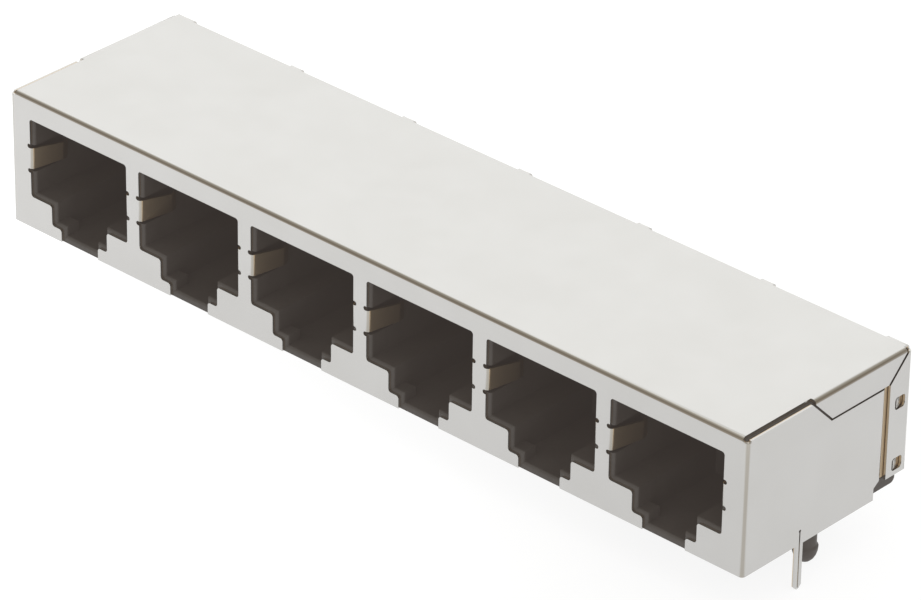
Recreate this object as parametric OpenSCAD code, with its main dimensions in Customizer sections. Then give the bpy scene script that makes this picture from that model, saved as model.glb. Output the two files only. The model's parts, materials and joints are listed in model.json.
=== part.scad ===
// Shielded right-angle modular jack for a circuit board: a row of ports in one folded shield,
// with the plug's latch towards the board. Millimetres.
// X runs along the row, the ports face -Y and +Z is up. The origin is on the board's surface,
// midway between the two locating pegs. Inside the modules, Y counts from the shield's front face.

/* [Ports] */
// Number of ports in the row
ports = 6; // [1:1:6]
// Distance between the centres of neighbouring ports
port_pitch = 13.97; // [13.9:0.01:15.5]
// Distance from an end port's centre to the shield's side face
end_reach = 8.625; // [8.4:0.025:10]

/* [Plug cavity] */
// Width of the cavity for the plug's body
cavity_w = 11.74; // [11.7:0.02:12]
// Height of the shelf under the plug's body, above the board
shelf_z = 3.6; // [3.4:0.05:3.7]
// Height of the cavity above its shelf
cavity_h = 7.25; // [7:0.05:7.3]
// Depth of the cavity, from the housing's front face to its back wall
cavity_d = 12.8; // [12.4:0.1:13.2]
// Width of the opening and chamber for the plug's latch
latch_w = 6.43; // [6.3:0.05:6.7]
// Height of the ledge that the latch hooks behind, above the board
ledge_z = 1.6; // [1.5:0.05:1.8]
// Width of the slot for the latch's lever
lever_w = 4.04; // [3.8:0.05:4.4]
// Thickness of the floor under the latch
latch_floor = 0.65; // [0.55:0.05:0.8]
// Thickness of the lip that the latch hooks behind
lip_t = 1.6; // [1.3:0.05:1.8]
// Length of the latch chamber behind the lip
latch_d = 8.5; // [8:0.1:9.5]
// Radius of the rounded lead-in round the opening
lead_in = 0.3; // [0.2:0.05:0.3]

/* [Shield] */
// Thickness of the sheet metal
sheet = 0.25; // [0.2:0.01:0.3]
// Outer radius of the shield's folds
fold_r = 0.4; // [0.35:0.01:0.55]
// Depth of the shield, front face to rear face
shield_d = 21.2; // [21.05:0.05:23]
// Height of the shield's top face above the board
shield_top = 13.4; // [13.3:0.05:15]
// Gap between the shield's lower edges and the board
board_gap = 0.05; // [0.02:0.01:0.2]
// How far the cut-outs in the front panel stand back from the cavity's edges
reveal = 0.34; // [0.3:0.01:0.5]
// Radius of the cut-outs' corners
corner_r = 0.3; // [0.15:0.05:0.45]
// Width of the top panel's free side edges, from the side face inwards
top_inset = 0.6; // [0.5:0.05:0.8]
// Height from the side wall's free top edge to the top face
wall_drop = 0.25; // [0.15:0.05:0.4]
// Width of the slits between neighbouring panels
slit = 0.2; // [0.12:0.02:0.3]

/* [Ground springs] */
// Height of the springs' middle above the board
spring_z = 7.15; // [6.5:0.05:7.5]
// Height of a spring at its fold
spring_h = 2.1; // [1.6:0.1:2.6]
// Height of a spring at its tip
spring_tip_h = 1.65; // [1.2:0.05:1.9]
// Length of a spring behind its fold
spring_l = 2.9; // [2.4:0.1:3.4]
// Angle that a spring is folded through
spring_angle = 75; // [72:1:80]
// Distance from the cut-out's edge out to the spring's fold
spring_root = 0.14; // [0.1:0.02:0.2]
// Width of the relief notch above and below a spring
relief_w = 0.42; // [0.3:0.02:0.5]
// Length of a spring's turned-out tip
spring_tip_l = 0.5; // [0.3:0.05:0.7]
// Angle that the tip is turned out by
spring_tip_angle = 30; // [20:1:40]

/* [Side flaps and rear strips] */
// Distance from the front face to the front of the top's side flap
flap_front = 8.6; // [7:0.1:9]
// Height of the flap's lower edge above the board
flap_z = 10.75; // [10:0.05:11.2]
// Distance from the front face to the flap's lower rear corner
flap_rear = 18.2; // [18:0.05:18.25]
// Distance from the front face to the side wall's rear edge
wall_rear = 17.5; // [17.3:0.05:17.6]
// Distance from the front face to the rear end of the side wall's lower edge
heel_y = 16.9; // [16.6:0.05:17]
// Height of the upright edge there
heel_h = 1.15; // [0.7:0.05:1.2]
// Width of the rear strip that wraps round onto the side
strip_w = 2.75; // [2.7:0.05:2.8]
// Height of the rear panel's lower edge above the board
rear_z = 1.4; // [1.2:0.05:1.6]
// How far the side wall's rear tongue is set in
jog = 0.3; // [0.28:0.01:0.36]
// Inside radius of tight bends
tight_r = 0.1; // [0.05:0.01:0.15]
// Width of the strip's windows, front to back
window_w = 1.3; // [1.2:0.05:1.4]
// Height of the strip's windows
window_h = 1.2; // [1.1:0.05:1.3]
// Distance from the strip's front edge to the windows' middle
window_in = 1.4; // [1.3:0.05:1.5]
// Height of the lower window's middle above the board
window_low_z = 2.45; // [2.4:0.05:2.8]
// Height of the upper window's middle above the board
window_high_z = 8.45; // [8:0.05:8.9]
// Clearance round the barb in its window
barb_gap = 0.15; // [0.1:0.01:0.2]

/* [Rear bridges] */
// Width of the bridges behind the walls between ports
bridge_w = 1.35; // [1:0.05:2]
// Width of the bridges at the shield's ends
end_bridge_w = 2.1; // [1.6:0.1:2.6]
// Depth of the slots between bridges, cut into the top and down the rear
bridge_slot = 0.5; // [0.45:0.01:0.7]

/* [Ground tails] */
// Distance from the front face to the middle of a ground tail
ground_tail_y = 7.3; // [7:0.05:7.5]
// Width of a ground tail
ground_tail_w = 0.9; // [0.8:0.05:1.1]
// Length of a ground tail below the board's surface
ground_tail_l = 4.35; // [3.5:0.05:4.6]
// Length of the bevel on a ground tail's tip
tail_bevel_l = 0.35; // [0.2:0.05:0.5]
// Width of the slit that splits a ground tail
tail_slit = 0.14; // [0.1:0.01:0.2]
// Height of the slit's round end above the board
tail_slit_z = 1.35; // [1.2:0.05:1.7]
// Radius of the slit's round end
tail_hole_r = 0.14; // [0.12:0.01:0.2]

/* [Housing] */
// Clearance between the housing's ends and the shield
side_gap = 0.05; // [0.02:0.01:0.1]
// Thickness of the housing's roof over the carriers
roof_t = 0.65; // [0.55:0.05:0.8]
// Thickness of the housing's floor under the carriers
bay_floor = 1.3; // [1.2:0.05:1.45]
// Gap between the housing's rear end and the shield's rear panel
rear_gap = 0.9; // [0.8:0.05:1.1]
// Radius of the housing's lower rear edge
heel_r = 0.5; // [0.3:0.05:0.6]
// Height of the housing's underside above the board at its rear end
undercut_z = 0.45; // [0.3:0.05:0.6]
// Distance from the front face to where the underside steps up
undercut_y = 15; // [14.8:0.1:15.2]
// Clearance round the ground springs in their pockets
pocket_gap = 0.3; // [0.2:0.05:0.4]
// Wall thickness round the cored pockets in the underside
core_wall = 0.9; // [0.8:0.05:1.1]
// Length of the cored pockets
core_l = 6.6; // [5:0.1:7]

/* [Locating pegs] */
// Distance from the front face to the pegs' centres
peg_setback = 10.5; // [10.2:0.1:11]
// Distance from the shield's side face in to a peg's centre
peg_inset = 1.95; // [1.9:0.05:2.4]
// Radius of a peg's shank
peg_r = 1; // [0.9:0.01:1.1]
// How far a peg's head swells past its shank
peg_swell = 0.15; // [0.05:0.01:0.2]
// Length of a peg's shank
shank_l = 2.05; // [2.05:0.05:2.2]
// Height of the flare between a peg's shank and its head
peg_flare = 0.2; // [0.1:0.05:0.3]
// Length of a peg below the board's surface
peg_l = 3.85; // [3.8:0.05:4.3]

/* [Contacts] */
// Number of contacts in a port
positions = 8; // [8:1:8]
// Distance between neighbouring contacts
contact_pitch = 1.016; // [1:0.002:1.02]
// Thickness of a contact, across its bends
wire_t = 0.3; // [0.25:0.01:0.32]
// Width of a contact
wire_w = 0.46; // [0.4:0.01:0.5]
// Inside radius of the bend above a contact's tail
wire_bend_r = 0.4; // [0.3:0.05:0.6]
// Distance from the pegs' line back to the front row of tails
first_row = 5.08; // [4.9:0.02:5.2]
// Distance between the two rows of tails
row_pitch = 2.54; // [2.4:0.02:2.6]
// Length of a contact's tail below the board's surface
wire_tail_l = 3.3; // [2.8:0.05:3.5]
// Length of the tapered tip of a tail
wire_tip_l = 0.5; // [0.3:0.05:0.7]
// Distance from the front face to the centre of the carrier's nose
nose_y = 3.6; // [3.4:0.05:3.9]
// Radius of the carrier's nose, round which the contacts are formed
nose_r = 0.5; // [0.45:0.01:0.53]
// Angle between a contact's spring arm and the board
arm_angle = 20; // [18:0.5:21]
// Length of a contact's spring arm
arm_l = 9.3; // [9.1:0.05:9.4]

/* [Carriers] */
// Width of a carrier's block
carrier_w = 12.4; // [12.1:0.05:12.6]
// Width of a carrier's tongue over the cavity
tongue_w = 9; // [8.6:0.1:10]
// Width of a carrier's foot
foot_w = 9; // [8.6:0.1:10]
// Gap between a carrier's foot and the board
foot_gap = 0.3; // [0.2:0.05:0.5]
// Distance from the cavity's back wall to the foot
foot_setback = 1; // [0.8:0.1:1.2]
// Clearance between a carrier and the housing
slide_gap = 0.05; // [0.03:0.01:0.08]
// Clearance beside a contact in its groove
groove_gap = 0.03; // [0.01:0.01:0.06]
// Depth of the comb that spaces the spring arms' ends
comb_d = 1.35; // [1:0.05:1.5]

/* [Hidden] */
$fn = 48;
// Overrun of a cut past the face that it opens
over = 1;
// Steps in the turned outline of a peg's rounded tip
TIP_STEPS = 6;

half_len = (ports - 1) / 2 * port_pitch + end_reach;
inner_r = fold_r - sheet;
flat_half = half_len - fold_r;
fold_top = shield_top - fold_r;
fold_rear = shield_d - fold_r;
top_half = half_len - top_inset;
rear_inside = shield_d - sheet;

cavity_top = shelf_z + cavity_h;
cavity_back = sheet + cavity_d;
lip_back = sheet + lip_t;
cut_w = cavity_w + 2 * reveal;
spring_x = cut_w / 2 + spring_root;

// The set in the side wall slopes three in four
jog_angle = atan2(3, 4);
strip_front = shield_d - strip_w;
window_y = strip_front + window_in;
barb_w = window_h - 2 * barb_gap;

housing_half = half_len - sheet - side_gap;
housing_top = shield_top - sheet;
housing_rear = rear_inside - rear_gap;
carrier_top = housing_top - roof_t - slide_gap;
bay_half = carrier_w / 2 + slide_gap;
foot_front = cavity_back + foot_setback;
tongue_low = window_low_z - window_h / 2 - slit;
tongue_z = carrier_top - wire_t - 2 * nose_r;
channel_front = nose_y - nose_r - wire_t - pocket_gap;
arm_end_z = tongue_z + nose_r - (nose_r + wire_t) * cos(arm_angle) - arm_l * sin(arm_angle);
comb_z = arm_end_z - pocket_gap;

function port_x(p) = (p - (ports + 1) / 2) * port_pitch;
function contact_x(c) = (c - (positions + 1) / 2) * contact_pitch;
// Rows alternate: odd contacts stand in the front row, even ones in the rear row
function row_y(c) = peg_setback + first_row + (c % 2 == 0 ? row_pitch : 0);

// ---- Shared shapes ----

module from_front() translate([0, -peg_setback, 0]) children();

module each_port() for (p = [1 : ports]) translate([port_x(p), 0, 0]) children();

module both_ends() for (s = [0, 1]) mirror([s, 0, 0]) children();

// Stands a drawing in X and Z on the plane at depth y, and gives it thickness t towards +Y
module upright(y, t) translate([0, y + t, 0]) rotate([90, 0, 0]) linear_extrude(t) children();

// Stands a drawing in Y and Z on the plane at x, and gives it thickness t towards +X
module sideways(x, t) translate([x, 0, 0]) rotate([90, 0, 90]) linear_extrude(t) children();

// Block between two opposite corners
module block(low, high) translate(low) cube(high - low);

// Rectangle between two opposite corners, with round corners
module round_rect(low, high, r) {
    translate([low.x + r, low.y]) square([high.x - low.x - 2 * r, high.y - low.y]);
    translate([low.x, low.y + r]) square([high.x - low.x, high.y - low.y - 2 * r]);
    for (x = [low.x + r, high.x - r], y = [low.y + r, high.y - r])
        translate([x, y]) circle(r);
}

// Cuts that round a panel's own corner at the origin, where the panel fills +X and -Y
module round_off(r) difference() {
    translate([-r, -r]) square(2 * r);
    translate([r, -r]) circle(r);
}

// A quarter of a sheet metal fold, from +X round to +Y, with its axis up Z
module fold(length) rotate_extrude(angle = 90) translate([inner_r, 0]) square([sheet, length]);

// A strip of thickness t across Y and height h up Z, formed from legs of
// [length, turn, inside radius]. It sets off along +X, and a positive turn bends it towards +Y.
module formed_strip(legs, t, h, i = 0) {
    run = legs[i][0];
    if (run > 0) cube([run, t, h]);
    if (i < len(legs) - 1) {
        turn = legs[i][1];
        inside = legs[i][2];
        centre = turn > 0 ? t + inside : -inside;
        translate([run, centre, 0]) {
            rotate([0, 0, turn > 0 ? -90 : 90 + turn])
                rotate_extrude(angle = abs(turn)) translate([inside, 0]) square([t, h]);
            rotate([0, 0, turn]) translate([0, -centre, 0]) formed_strip(legs, t, h, i + 1);
        }
    }
}

// ---- Shield ----

// Stepped cut-out for one port, open at the panel's lower edge
module port_cut() {
    cut_latch_w = latch_w + 2 * reveal;
    cut_lever_w = lever_w + 2 * reveal;
    cut_shelf = shelf_z - reveal;
    cut_ledge = ledge_z - reveal;
    round_rect([-cut_w / 2, cut_shelf], [cut_w / 2, cavity_top + reveal], corner_r);
    round_rect([-cut_latch_w / 2, cut_ledge], [cut_latch_w / 2, shelf_z + over], corner_r);
    translate([-cut_lever_w / 2, -over]) square([cut_lever_w, ledge_z + over]);
    for (s = [0, 1]) mirror([s, 0]) {
        translate([cut_latch_w / 2, cut_shelf]) round_off(corner_r);
        translate([cut_lever_w / 2, cut_ledge]) round_off(corner_r);
        spring_cut();
    }
}

// Opening beside one ground spring: its fold line, with a round-ended notch above and below
module spring_cut() {
    open_h = spring_h + 2 * relief_w;
    translate([cavity_w / 2, spring_z - open_h / 2]) square([spring_x - cavity_w / 2, open_h]);
    for (z = [-1, 1] * (spring_h + relief_w) / 2)
        translate([spring_x, spring_z + z]) circle(relief_w / 2);
}

module front_panel() upright(0, sheet) difference() {
    translate([-flat_half, board_gap]) square([2 * flat_half, fold_top - board_gap]);
    for (p = [1 : ports]) translate([port_x(p), 0]) port_cut();
}

// Ground spring at a cut-out's right edge: folded in through the opening, tip turned out again
module ground_spring() mirror([1, 0, 0]) intersection() {
    translate([-spring_x, 0, spring_z - spring_h / 2]) formed_strip([
        [0, spring_angle, inner_r],
        [spring_l, spring_tip_angle, inner_r],
        [spring_tip_l]
    ], sheet, spring_h);
    taper = (spring_h - spring_tip_h) / 2;
    sideways(-spring_x, spring_x) translate([0, spring_z]) polygon([
        [0, -spring_h / 2], [fold_r, -spring_h / 2], [spring_l + spring_tip_l + fold_r, taper - spring_h / 2],
        [spring_l + spring_tip_l + fold_r, spring_h / 2 - taper], [fold_r, spring_h / 2], [0, spring_h / 2]
    ]);
}

// Slots between the bridges leave the rear edge only at the ends and behind each wall
module bridge_spans(low, high) {
    translate([-flat_half, low]) square([end_bridge_w, high - low]);
    translate([flat_half - end_bridge_w, low]) square([end_bridge_w, high - low]);
    if (ports > 1) for (p = [1 : ports - 1])
        translate([port_x(p) + port_pitch / 2 - bridge_w / 2, low]) square([bridge_w, high - low]);
}

module top_panel() {
    slot_y = shield_d - bridge_slot;
    translate([0, 0, shield_top - sheet]) linear_extrude(sheet) {
        translate([-top_half, fold_r]) square([2 * top_half, flap_front - fold_r]);
        translate([-flat_half, flap_front]) square([2 * flat_half, slot_y - flap_front]);
        bridge_spans(slot_y, fold_rear);
    }
    // Fold down to the front panel
    translate([-top_half, fold_r, fold_top]) rotate([0, 90, 0]) rotate([0, 0, 180])
        fold(2 * top_half);
    // Folds over the bridges, down to the rear panel
    intersection() {
        translate([-flat_half, fold_rear, fold_top]) rotate([0, 90, 0]) rotate([0, 0, 90])
            fold(2 * flat_half);
        upright(fold_rear, fold_r) bridge_spans(fold_top, shield_top);
    }
}

module rear_panel() {
    slot_z = shield_top - bridge_slot;
    upright(rear_inside, sheet) {
        translate([-flat_half, rear_z]) square([2 * flat_half, slot_z - rear_z]);
        bridge_spans(slot_z, fold_top);
    }
}

// Right-hand flap, folded down from the top panel over the side wall
module side_flap() {
    drop = fold_top - flap_z;
    fold_end = flap_rear + drop;
    translate([flat_half, fold_end, fold_top]) rotate([90, 0, 0]) fold(fold_end - flap_front);
    sideways(half_len - sheet, sheet) polygon([
        [flap_front, fold_top], [flap_front + drop, flap_z], [flap_rear, flap_z], [fold_end, fold_top]
    ]);
}

// Right-hand side wall with its ground tail, and the fold that joins it to the front panel
module side_wall() {
    wall_top = shield_top - wall_drop;
    slant = slit * sqrt(2);
    under_flap = flap_z - slit;
    tail_half = ground_tail_w / 2;
    tip_half = tail_half / 4;
    translate([flat_half, fold_r, board_gap]) rotate([0, 0, -90]) fold(fold_top - board_gap);
    sideways(half_len - sheet, sheet) difference() {
        union() {
            polygon([
                [fold_r, board_gap], [heel_y, board_gap], [heel_y, board_gap + heel_h],
                [wall_rear, tongue_low], [wall_rear, under_flap],
                [flap_front + fold_top - under_flap - slant, under_flap],
                [flap_front + fold_top - wall_top - slant, wall_top], [fold_r, wall_top]
            ]);
            translate([ground_tail_y, 0]) polygon([
                [-tail_half, board_gap], [-tail_half, tail_bevel_l - ground_tail_l],
                [-tip_half, -ground_tail_l], [tip_half, -ground_tail_l],
                [tail_half, tail_bevel_l - ground_tail_l], [tail_half, board_gap]
            ]);
        }
        translate([ground_tail_y, tail_slit_z]) circle(tail_hole_r);
        translate([ground_tail_y - tail_slit / 2, -ground_tail_l - over])
            square([tail_slit, tail_slit_z + ground_tail_l + over]);
    }
    rear_tongue(tongue_low, under_flap);
}

// The side wall's rear end, set in behind the rear strip, with a lanced barb in each window
module rear_tongue(low, high) {
    bends = (sheet + 2 * tight_r);
    slope_l = (jog - bends * (1 - cos(jog_angle))) / sin(jog_angle);
    jog_l = bends * sin(jog_angle) + slope_l * cos(jog_angle);
    tongue_l = fold_rear - slit - wall_rear - jog_l;
    barb_front = window_y - window_w / 2 + barb_gap;
    barb_rear = window_y + window_w / 2 - barb_gap;
    outside = half_len - jog;
    difference() {
        translate([half_len, wall_rear, low]) rotate([0, 0, 90]) formed_strip([
            [0, jog_angle, tight_r], [slope_l, -jog_angle, tight_r], [tongue_l]
        ], sheet, high - low);
        for (z = [window_low_z, window_high_z])
            block([outside - over, barb_front - barb_gap / 2, z - window_h / 2],
                  [half_len, barb_rear, z + window_h / 2]);
    }
    for (z = [window_low_z, window_high_z]) translate([0, 0, z - barb_w / 2])
        linear_extrude(barb_w) polygon([
            [half_len, barb_front], [outside, barb_rear],
            [outside - sheet, barb_rear], [half_len - sheet, barb_front]
        ]);
}

// Right-hand strip, folded round from the rear panel onto the side
module rear_strip() {
    strip_top = flap_z + strip_front - flap_rear - slit * 2;
    fold_high = strip_top + fold_rear - strip_front;
    translate([flat_half, fold_rear, rear_z]) fold(min(fold_top, fold_high) - rear_z);
    sideways(half_len - sheet, sheet) difference() {
        polygon([
            [strip_front, rear_z], [fold_rear, rear_z],
            [fold_rear, min(fold_top, fold_high)], [strip_front, strip_top]
        ]);
        for (z = [window_low_z, window_high_z])
            round_rect([window_y - window_w / 2, z - window_h / 2],
                       [window_y + window_w / 2, z + window_h / 2], corner_r);
    }
}

module shield() color("#dedcd8") from_front() {
    front_panel();
    top_panel();
    rear_panel();
    both_ends() {
        side_flap();
        side_wall();
        rear_strip();
    }
    each_port() both_ends() ground_spring();
}

// ---- Housing ----

// Block with its rear heel rounded, and the edges that lie in the shield's folds
module housing_body() difference() {
    edge_r = inner_r + side_gap;
    sideways(-housing_half, 2 * housing_half) difference() {
        translate([sheet, 0]) square([housing_rear - sheet, housing_top]);
        translate([sheet, housing_top]) round_off(edge_r);
        translate([undercut_y, -over]) square([shield_d, undercut_z + over]);
        translate([housing_rear, undercut_z]) rotate(180) round_off(heel_r);
    }
    both_ends() {
        upright(0, shield_d) translate([housing_half, housing_top]) rotate(-90) round_off(edge_r);
        linear_extrude(shield_top) translate([housing_half, sheet]) rotate(180) round_off(edge_r);
    }
}

// Width w, flared by the lead-in's radius towards the housing's front face
module flare(w) difference() {
    translate([-w / 2 - lead_in, sheet]) square([w + 2 * lead_in, lead_in]);
    for (s = [-1, 1]) translate([s * (w / 2 + lead_in), sheet + lead_in]) circle(lead_in);
}

// Rounded mouth of an opening of width w that runs from z_low up to the cavity's roof
module mouth(w, z_low) intersection() {
    h = cavity_top - z_low;
    translate([0, 0, z_low - lead_in]) linear_extrude(h + 2 * lead_in) flare(w);
    translate([-w / 2 - lead_in, 0, cavity_top - h / 2]) rotate([0, 90, 0])
        linear_extrude(w + 2 * lead_in) flare(h);
}

// Everything that one port takes out of the housing
module port_hollow() {
    tongue_half = tongue_w / 2 + slide_gap;
    foot_half = foot_w / 2 + slide_gap;
    // Cavity for the plug's body, steps for its latch, and the chamber behind the lip
    block([-cavity_w / 2, 0, shelf_z], [cavity_w / 2, cavity_back + over, cavity_top]);
    block([-latch_w / 2, 0, ledge_z], [latch_w / 2, lip_back + over, shelf_z + over]);
    block([-lever_w / 2, 0, latch_floor], [lever_w / 2, lip_back + over, shelf_z + over]);
    block([-latch_w / 2, lip_back, latch_floor], [latch_w / 2, lip_back + latch_d, shelf_z + over]);
    mouth(cavity_w, shelf_z);
    mouth(latch_w, ledge_z);
    mouth(lever_w, latch_floor);
    // Pockets that the ground springs give way into
    both_ends() block(
        [cavity_w / 2 - over, 0, spring_z - spring_h / 2 - pocket_gap],
        [spring_x + side_gap, fold_r + spring_l + spring_tip_l + pocket_gap,
         spring_z + spring_h / 2 + pocket_gap]
    );
    // Channel for the carrier's tongue, bay for its block and notch for its foot
    block([-tongue_half, channel_front, cavity_top - over],
          [tongue_half, cavity_back + over, carrier_top + slide_gap]);
    block([-bay_half, cavity_back, bay_floor], [bay_half, shield_d, carrier_top + slide_gap]);
    block([-foot_half, foot_front - slide_gap, -over], [foot_half, shield_d, bay_floor + over]);
}

// Cored pockets in the underside, one on each side of a port's latch chamber
module core_pockets() both_ends() block(
    [latch_w / 2 + core_wall, lip_back, -over],
    [port_pitch / 2 - core_wall / 2, lip_back + core_l, shelf_z - core_wall]
);

module end_recess() block(
    [half_len - jog - sheet - side_gap, wall_rear - side_gap, tongue_low - slit / 2],
    [half_len, shield_d, flap_z]
);

// Locating peg: a straight shank, flared to a head with a rounded tip
module peg() rotate_extrude() {
    head_r = peg_r + peg_swell;
    head_top = shank_l + peg_flare;
    tip_l = peg_l - head_top;
    translate([0, -shank_l]) square([peg_r, shank_l + over / 2]);
    polygon([
        [0, -shank_l], [peg_r, -shank_l],
        for (k = [0 : TIP_STEPS - 1]) let (a = k * 90 / TIP_STEPS)
            [head_r * cos(a), -head_top - tip_l * sin(a)],
        [0, -peg_l]
    ]);
}

module housing() color("#35312f") from_front() {
    difference() {
        housing_body();
        each_port() {
            port_hollow();
            core_pockets();
        }
        both_ends() end_recess();
    }
    both_ends() translate([half_len - peg_inset, peg_setback, 0]) peg();
}

// ---- Contact carriers ----

// Groove for contact c: along the tongue's top, down the block, and eased at the bend between
module groove(c) translate([contact_x(c), 0, 0]) {
    half = wire_w / 2 + groove_gap;
    floor_z = carrier_top - wire_t;
    wall_y = row_y(c) - wire_t / 2;
    block([-half, 0, floor_z], [half, shield_d, carrier_top + over]);
    block([-half, wall_y, -over], [half, shield_d, carrier_top + over]);
    block([-half, wall_y - wire_bend_r, floor_z - wire_bend_r], [half, shield_d, carrier_top + over]);
}

// Fins that keep the spring arms' free ends apart
module comb() {
    fin_t = contact_pitch - wire_w - 2 * groove_gap;
    for (k = [0 : positions]) translate([contact_x(k + 0.5) - fin_t / 2, 0, 0])
        block([0, cavity_back - comb_d, comb_z], [fin_t, cavity_back + sheet, tongue_z + nose_r]);
}

module carrier(p) color("#4a4643") from_front() translate([port_x(p), 0, 0]) {
    nose_clear = nose_r - groove_gap;
    difference() {
        union() {
            block([-carrier_w / 2, cavity_back, bay_floor], [carrier_w / 2, rear_inside, carrier_top]);
            block([-tongue_w / 2, nose_y, tongue_z], [tongue_w / 2, cavity_back + over, carrier_top]);
            block([-foot_w / 2, foot_front, foot_gap], [foot_w / 2, housing_rear, bay_floor + over]);
        }
        for (c = [1 : positions]) groove(c);
    }
    sideways(-tongue_w / 2, tongue_w) translate([nose_y, tongue_z + nose_r]) difference() {
        circle(nose_clear);
        translate([groove_gap, -nose_r]) square(2 * nose_r);
    }
    comb();
}

// ---- Contacts ----

// Contact c of port p: tail up through the carrier, over its tongue, round its nose and back
module contact(p, c) color("#d8b45a") from_front()
    translate([port_x(p) + contact_x(c) - wire_w / 2, row_y(c) + wire_t / 2, 0]) {
        bend_out = wire_bend_r + wire_t;
        tip_z = wire_tip_l - wire_tail_l;
        translate([0, 0, tip_z]) rotate([0, -90, 180]) formed_strip([
            [carrier_top - bend_out - tip_z, 90, wire_bend_r],
            [row_y(c) + wire_t / 2 - bend_out - nose_y, 180 - arm_angle, nose_r],
            [arm_l]
        ], wire_t, wire_w);
        // Tapered tip of the tail
        sideways(0, wire_w) polygon([
            [0, tip_z], [-wire_t, tip_z], [-wire_t * 2 / 3, -wire_tail_l], [-wire_t / 3, -wire_tail_l]
        ]);
    }

// ---- The assembly ----

shield();
housing();
for (p = [1 : ports]) carrier(p);
for (p = [1 : ports], c = [1 : positions])
    contact(p, c);
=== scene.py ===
# A row of shielded modular jacks for a circuit board, dressed for a studio picture.
import json
import math

import bmesh
import bpy
from mathutils import Matrix, Vector


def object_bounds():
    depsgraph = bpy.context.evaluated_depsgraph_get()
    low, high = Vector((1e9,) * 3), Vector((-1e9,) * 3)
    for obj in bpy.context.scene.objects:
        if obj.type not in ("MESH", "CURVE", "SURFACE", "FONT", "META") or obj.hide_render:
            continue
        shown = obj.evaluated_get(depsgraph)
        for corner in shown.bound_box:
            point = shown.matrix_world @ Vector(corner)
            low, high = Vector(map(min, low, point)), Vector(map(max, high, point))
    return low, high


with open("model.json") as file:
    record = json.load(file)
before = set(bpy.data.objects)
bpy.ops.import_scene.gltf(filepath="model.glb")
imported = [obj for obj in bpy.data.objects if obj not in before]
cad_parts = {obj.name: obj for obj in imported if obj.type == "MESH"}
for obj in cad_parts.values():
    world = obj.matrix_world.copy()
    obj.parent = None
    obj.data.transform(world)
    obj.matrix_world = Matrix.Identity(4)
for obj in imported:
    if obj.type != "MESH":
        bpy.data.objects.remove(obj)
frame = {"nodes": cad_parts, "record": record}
cad_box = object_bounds()
nodes = frame["nodes"]
MM = 0.001

# ---- Driving values -------------------------------------------------------

# Pairs of numbers or colours are a pattern's two ends. The scales of patterns are per metre.
# Noise gathers round its middle, so a pattern takes only that part of its range.
NOISE_RANGE = (0.3, 0.7)
NOISE_DETAIL = 3.0
NOISE_ROUGHNESS = 0.55

# Tin-plated sheet: clouded, with fine rolling lines along the row and a fine grain
SHEET_CLOUDS = 180
SHEET_LINES = (350, 9000, 9000)
SHEET_GRAIN = 9000
SHEET_TONES = ((0.536, 0.531, 0.518), (0.556, 0.552, 0.541))
SHEET_ROUGHNESS = (0.20, 0.23)
SHEET_RELIEF = 0.08
LINE_DEPTH = 0.003 * MM
GRAIN_DEPTH = 0.004 * MM

# Painted dark reflections on the sheet, which multiply its tone: on every fold, and on the fold under
# the top
FOLD_PAINTED_REFLECTION = (0.71, 0.68, 0.62)
BROW_PAINTED_REFLECTION = (0.45, 0.405, 0.345)
# The largest part of the normal at which a fold starts and is full
FOLD_TURN = (0.985, 0.86)
# The upward part of the normal over which the fold under the top darkens, and clears again
BROW_RISE = (0.06, 0.22)
BROW_CLEAR = (0.60, 0.92)
# How far under the top that fold's painted dark reflection starts and is full
BROW_DROP = (0.50 * MM, 0.42 * MM)

# The sheet's inner side: its painted shade, a brownish darkening, how much rougher it is, and the
# depth behind the outer
#  faces at which it starts and is full
INSIDE_PAINTED_SHADE = (1.0, 0.80, 0.55)
INSIDE_ROUGHER = 0.11
INSIDE_DEPTH = (0.14 * MM, 0.22 * MM)

# Dark plastics: fine flecks over slow waves
PLASTIC_GLOSS = 0.3
FLECK_DEPTH = 0.02 * MM
FLECK_RELIEF = 0.25
WAVE_DEPTH = 0.03 * MM
WAVE_RELIEF = 0.15
HOUSING_FLECKS = 2600
HOUSING_WAVES = 420
HOUSING_TONES = ((0.034, 0.030, 0.026), (0.046, 0.041, 0.036))
HOUSING_ROUGHNESS = (0.42, 0.58)
CARRIER_FLECKS = 3000
CARRIER_WAVES = 500
CARRIER_TONES = ((0.038, 0.035, 0.031), (0.050, 0.046, 0.041))
CARRIER_ROUGHNESS = (0.40, 0.55)

# Contacts: gold above and tin below, the heights above the board between which one turns into
# the other, and how far that line wanders
CONTACT_WEAR = 1400
GOLD_TONES = ((0.78, 0.54, 0.20), (0.90, 0.66, 0.29))
TIN_TONES = ((0.62, 0.61, 0.58), (0.74, 0.73, 0.70))
TIN_LINE = (1.0 * MM, 1.4 * MM)
TIN_WANDER = (-0.2 * MM, 0.2 * MM)
CONTACT_ROUGHNESS = (0.22, 0.36)

# Rounded edges: their widths, the least angle between faces that gets one, and the gap across
# which a mesh's loose corners are joined first
SHIELD_EDGE = 0.03 * MM
HOUSING_EDGE = 0.05 * MM
EDGE_SEGMENTS = 2
EDGE_ANGLE = math.radians(35)
WELD_GAP = 0.001 * MM

# The studio camera: where it stands, how it is turned and its long lens
CAMERA_AT = Vector((293.90, -319.08, 255.34)) * MM
CAMERA_TURN = Vector((1.97821739, 0.78939181, -0.44058211))
CAMERA_NEAR = 0.01
LENS_MM = 224.05
SENSOR_MM = 36.0
SHIFT = (0.0395, 0.0241)

# The floor is a light table: pale, dull and lit from below, a little brighter on the left. Its
# slope is the stretch of X over which the glow falls.
FLOOR_SIZE = 2.4
FLOOR_TINT = 0.12
FLOOR_ROUGHNESS = 0.9
FLOOR_GLOW = (1.045, 0.88)
FLOOR_SLOPE = (-0.055, 0.03)

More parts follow.
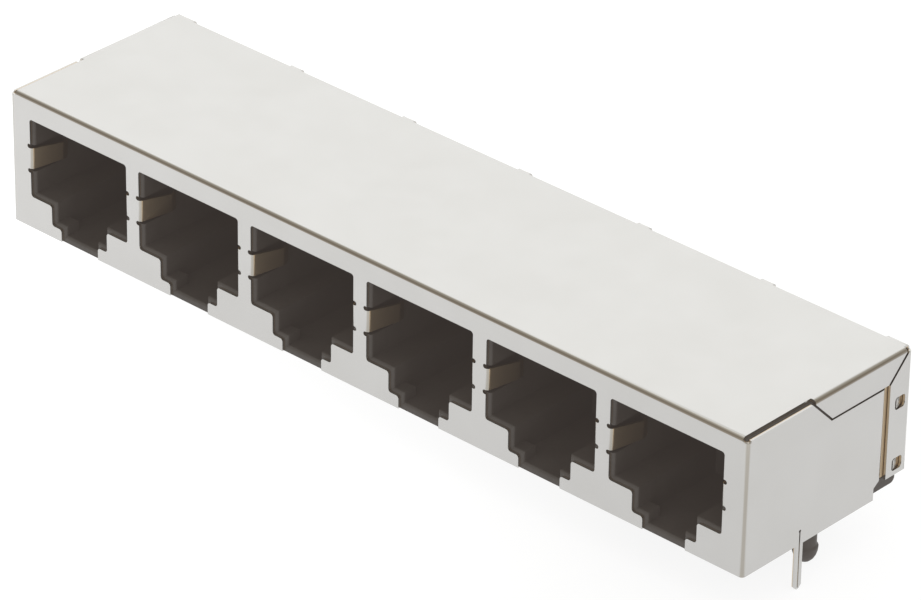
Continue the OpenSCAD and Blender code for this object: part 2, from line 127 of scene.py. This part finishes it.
# The air's colour, and the two pale grey walls of the room: the way to each one's middle, and
# the cosines of the angles from there at which it starts and is full
AIR = (1.39, 1.39, 1.37)
WALL = (0.80, 0.78, 0.73)
WALL_MIDDLES = ((-0.68, -0.55, 0.48), (0.46, 0.63, 0.63))
WALL_EDGE = (0.57, 0.86)

# Stray light in the lens, for red, green and blue
VEIL = (0.033, 0.027, 0.024)


# ---- Node helpers ---------------------------------------------------------

class Finish:
    """One material, with short calls that add and join its nodes."""

    def __init__(self, name):
        self.material = bpy.data.materials.new(name)
        self.material.use_nodes = True
        self.tree = self.material.node_tree
        self.shader = self.tree.nodes["Principled BSDF"]
        self.place = self.add("ShaderNodeTexCoord").outputs["Object"]

    def add(self, kind, **settings):
        node = self.tree.nodes.new(kind)
        for key, value in settings.items():
            setattr(node, key, value)
        return node

    def join(self, source, target):
        self.tree.links.new(source, target)

    def fix(self, **inputs):
        for key, value in inputs.items():
            self.shader.inputs[key.replace("_", " ")].default_value = value

    def stretched(self, scale):
        mapping = self.add("ShaderNodeMapping")
        mapping.inputs["Scale"].default_value = scale
        self.join(self.place, mapping.inputs["Vector"])
        return mapping.outputs["Vector"]

    def noise(self, scale, detail=NOISE_DETAIL, vector=None):
        node = self.add("ShaderNodeTexNoise")
        node.inputs["Scale"].default_value = scale
        node.inputs["Detail"].default_value = detail
        node.inputs["Roughness"].default_value = NOISE_ROUGHNESS
        self.join(vector or self.place, node.inputs["Vector"])
        return node.outputs["Fac"]

    def spread(self, value, low, high, start=NOISE_RANGE[0], end=NOISE_RANGE[1]):
        node = self.add("ShaderNodeMapRange")
        node.inputs["From Min"].default_value = start
        node.inputs["From Max"].default_value = end
        node.inputs["To Min"].default_value = low
        node.inputs["To Max"].default_value = high
        self.join(value, node.inputs["Value"])
        return node.outputs["Result"]

    def tint(self, value, dark, light):
        ramp = self.add("ShaderNodeValToRGB")
        for end, position, color in zip(ramp.color_ramp.elements, NOISE_RANGE, (dark, light)):
            end.position = position
            end.color = (*color, 1)
        self.join(value, ramp.inputs["Fac"])
        return ramp.outputs["Color"]

    def bump(self, height, depth, strength, under=None):
        node = self.add("ShaderNodeBump")
        node.inputs["Distance"].default_value = depth
        node.inputs["Strength"].default_value = strength
        self.join(height, node.inputs["Height"])
        if under:
            self.join(under, node.inputs["Normal"])
        return node.outputs["Normal"]

    def reckon(self, operation, *values):
        node = self.add("ShaderNodeMath", operation=operation)
        for value, socket in zip(values, node.inputs):
            if isinstance(value, float):
                socket.default_value = value
            else:
                self.join(value, socket)
        return node.outputs["Value"]

    def axes(self, vector):
        split = self.add("ShaderNodeSeparateXYZ")
        self.join(vector, split.inputs["Vector"])
        return list(split.outputs)

    def least(self, *values):
        smallest = values[0]
        for value in values[1:]:
            smallest = self.reckon("MINIMUM", smallest, value)
        return smallest

    def folded(self):
        """How far a spot lies on a fold: 0 on the straight walls, 1 where the sheet turns a corner."""
        normal = self.add("ShaderNodeTexCoord").outputs["Normal"]
        x, y, z = [self.reckon("ABSOLUTE", part) for part in self.axes(normal)]
        straight = self.reckon("MAXIMUM", self.reckon("MAXIMUM", x, y), z)
        start, full = FOLD_TURN
        return self.spread(straight, 1.0, 0.0, full, start)

    def browed(self, top):
        """How far a spot lies on a fold right under the top, most of all on the fold's lower half."""
        up = self.axes(self.add("ShaderNodeTexCoord").outputs["Normal"])[2]
        start, full = BROW_DROP
        height = self.spread(self.axes(self.place)[2], 0.0, 1.0, top - start, top - full)
        rise = self.spread(up, 0.0, 1.0, *BROW_RISE)
        clear = self.spread(up, 1.0, 0.0, *BROW_CLEAR)
        return self.least(height, rise, clear)

    def behind(self, box):
        """How far a spot lies behind the outer faces of a sheet box that is open below: 0 to 1."""
        (x, y, z), (low, high) = self.axes(self.place), box
        depth = self.least(
            self.reckon("SUBTRACT", high[2], z),
            self.reckon("SUBTRACT", x, low[0]),
            self.reckon("SUBTRACT", high[0], x),
            self.reckon("SUBTRACT", y, low[1]),
            self.reckon("SUBTRACT", high[1], y),
        )
        return self.spread(depth, 0.0, 1.0, *INSIDE_DEPTH)

    def mixed(self, where, under, over, **settings):
        mix = self.add("ShaderNodeMix", data_type="RGBA", **settings)
        self.join(where, mix.inputs["Factor"])
        self.join(under, mix.inputs["A"])
        if isinstance(over, tuple):
            mix.inputs["B"].default_value = (*over, 1)
        else:
            self.join(over, mix.inputs["B"])
        return mix.outputs["Result"]

    # Multiplies a colour by a darker tone where the mask is full: for painted dark reflections and
    # painted shade
    def painted_darkening(self, where, color, stain):
        return self.mixed(where, color, stain, blend_type="MULTIPLY")

    def finish(self, color, roughness, normal=None):
        self.join(color, self.shader.inputs["Base Color"])
        self.join(roughness, self.shader.inputs["Roughness"])
        if normal:
            self.join(normal, self.shader.inputs["Normal"])
        return self.material


# ---- Materials ------------------------------------------------------------

def plated_sheet(box):
    """Tin-plated sheet, pale and satin: browner where it is folded, as a painted dark reflection;
    rougher inside, and browner there as painted shade.
    """
    f = Finish("tin_plated_sheet")
    clouds = f.noise(SHEET_CLOUDS, detail=4)
    lines = f.noise(1, detail=2, vector=f.stretched(SHEET_LINES))
    grain = f.noise(SHEET_GRAIN, detail=2)
    inside = f.behind(box)
    color = f.tint(clouds, *SHEET_TONES)
    # Painted dark reflection along every fold
    color = f.painted_darkening(f.folded(), color, FOLD_PAINTED_REFLECTION)
    # Painted dark reflection on the fold right under the top
    color = f.painted_darkening(f.browed(box[1][2]), color, BROW_PAINTED_REFLECTION)
    # Painted shade, brownish, on faces behind the outer faces: the inner side and the recessed jog
    color = f.painted_darkening(inside, color, INSIDE_PAINTED_SHADE)
    rough = f.reckon("MULTIPLY_ADD", inside, INSIDE_ROUGHER, f.spread(lines, *SHEET_ROUGHNESS))
    fine = f.bump(grain, GRAIN_DEPTH, SHEET_RELIEF)
    normal = f.bump(lines, LINE_DEPTH, SHEET_RELIEF, fine)
    f.fix(Metallic=1.0)
    return f.finish(color, rough, normal)


def black_housing():
    """Dark glass-filled plastic with a fine moulded skin."""
    f = Finish("black_housing_plastic")
    flecks = f.noise(HOUSING_FLECKS)
    waves = f.noise(HOUSING_WAVES)
    color = f.tint(waves, *HOUSING_TONES)
    rough = f.spread(flecks, *HOUSING_ROUGHNESS)
    fine = f.bump(flecks, FLECK_DEPTH, FLECK_RELIEF)
    normal = f.bump(waves, WAVE_DEPTH, WAVE_RELIEF, fine)
    f.fix(Specular_IOR_Level=PLASTIC_GLOSS)
    return f.finish(color, rough, normal)


def carrier_plastic():
    """The contact carriers' plastic, a shade greyer than the housing."""
    f = Finish("carrier_plastic")
    flecks = f.noise(CARRIER_FLECKS)
    color = f.tint(f.noise(CARRIER_WAVES), *CARRIER_TONES)
    rough = f.spread(flecks, *CARRIER_ROUGHNESS)
    normal = f.bump(flecks, FLECK_DEPTH, FLECK_RELIEF)
    f.fix(Specular_IOR_Level=PLASTIC_GLOSS)
    return f.finish(color, rough, normal)


def gilded_contact():
    """Gold over the springs, dull tin on the solder tails, up to a millimetre above the board."""
    f = Finish("gilded_contact")
    wear = f.noise(CONTACT_WEAR)
    height = f.reckon("ADD", f.axes(f.place)[2], f.spread(wear, *TIN_WANDER))
    tinned = f.spread(height, 1.0, 0.0, *TIN_LINE)
    color = f.mixed(tinned, f.tint(wear, *GOLD_TONES), f.tint(wear, *TIN_TONES))
    f.fix(Metallic=1.0)
    return f.finish(color, f.spread(wear, *CONTACT_ROUGHNESS))


# ---- Dressing the CAD nodes -----------------------------------------------

def box_of(node):
    corners = [tuple(corner) for corner in node.bound_box]
    return [[pick(axis) for axis in zip(*corners)] for pick in (min, max)]


def give(node, material):
    node.data.materials.clear()
    node.data.materials.append(material)


def soften(node, width):
    """Rounds a CAD node's sharp edges a little, so that they catch the light."""
    weld = node.modifiers.new("weld", "WELD")
    weld.merge_threshold = WELD_GAP
    bevel = node.modifiers.new("edge_break", "BEVEL")
    bevel.width = width
    bevel.segments = EDGE_SEGMENTS
    bevel.limit_method = "ANGLE"
    bevel.angle_limit = EDGE_ANGLE
    bevel.harden_normals = True
    bevel.use_clamp_overlap = True


# ---- Stage ----------------------------------------------------------------

def studio_floor():
    mesh = bpy.data.meshes.new("studio_floor")
    floor = bpy.data.objects.new("studio_floor", mesh)
    bpy.context.scene.collection.objects.link(floor)
    under = Matrix.Translation((0, 0, cad_box[0][2]))
    plate = bmesh.new()
    bmesh.ops.create_grid(plate, x_segments=1, y_segments=1, size=FLOOR_SIZE / 2, matrix=under)
    plate.to_mesh(mesh)
    plate.free()
    f = Finish("studio_light_table")
    glow = f.spread(f.axes(f.place)[0], *FLOOR_GLOW, *FLOOR_SLOPE)
    f.join(glow, f.shader.inputs["Emission Strength"])
    tint = (FLOOR_TINT, FLOOR_TINT, FLOOR_TINT, 1)
    f.fix(Base_Color=tint, Roughness=FLOOR_ROUGHNESS, Emission_Color=(1, 1, 1, 1))
    give(floor, f.material)


def studio_world():
    """White air all round, with a pale grey wall up at the front left and at the back right."""
    world = bpy.data.worlds.new("studio_air")
    bpy.context.scene.world = world
    world.use_nodes = True
    tree = world.node_tree
    way = tree.nodes.new("ShaderNodeTexCoord").outputs["Generated"]
    color = None
    for middle in WALL_MIDDLES:
        near = tree.nodes.new("ShaderNodeVectorMath")
        near.operation = "DOT_PRODUCT"
        near.inputs[1].default_value = middle
        tree.links.new(way, near.inputs[0])
        edge = tree.nodes.new("ShaderNodeMapRange")
        edge.interpolation_type = "SMOOTHSTEP"
        edge.inputs["From Min"].default_value = WALL_EDGE[0]
        edge.inputs["From Max"].default_value = WALL_EDGE[1]
        tree.links.new(near.outputs["Value"], edge.inputs["Value"])
        mix = tree.nodes.new("ShaderNodeMix")
        mix.data_type = "RGBA"
        mix.inputs["A"].default_value = (*AIR, 1)
        mix.inputs["B"].default_value = (*WALL, 1)
        tree.links.new(edge.outputs["Result"], mix.inputs["Factor"])
        if color:
            tree.links.new(color, mix.inputs["A"])
        color = mix.outputs["Result"]
    tree.links.new(color, tree.nodes["Background"].inputs["Color"])


def studio_camera():
    camera = bpy.data.cameras.new("studio_camera")
    camera.lens = LENS_MM
    camera.sensor_width = SENSOR_MM
    camera.shift_x, camera.shift_y = SHIFT
    camera.clip_start = CAMERA_NEAR
    stand = bpy.data.objects.new("studio_camera", camera)
    bpy.context.scene.collection.objects.link(stand)
    # The turn is an axis times its angle, for a view that looks along +Z with Y down
    view = Matrix.Rotation(CAMERA_TURN.length, 3, CAMERA_TURN.normalized())
    right, down, ahead = view[0], view[1], view[2]
    turn = Matrix((right, -down, -ahead)).transposed().to_4x4()
    stand.matrix_world = Matrix.Translation(CAMERA_AT) @ turn
    bpy.context.scene.camera = stand


def lens_veil():
    """Lifts the picture's darkest tones a little, as stray light in a lens does."""
    view = bpy.context.scene.view_settings
    view.use_curve_mapping = True
    for channel, lift in zip(view.curve_mapping.curves, VEIL):
        channel.points[0].location = (0, lift)
    view.curve_mapping.update()


# ---- Making ---------------------------------------------------------------

finishes = {
    "shield_plate": plated_sheet(box_of(nodes["shield"])),
    "housing_plastic": black_housing(),
    "carrier_plastic": carrier_plastic(),
    "contact_metal": gilded_contact(),
}
for part in frame["record"]["subparts"]:
    give(nodes[part["node"]], finishes[part["material_slot"]])

soften(nodes["shield"], SHIELD_EDGE)
soften(nodes["housing"], HOUSING_EDGE)

studio_floor()
studio_world()
studio_camera()
bpy.context.scene.view_settings.view_transform = "Standard"
lens_veil()
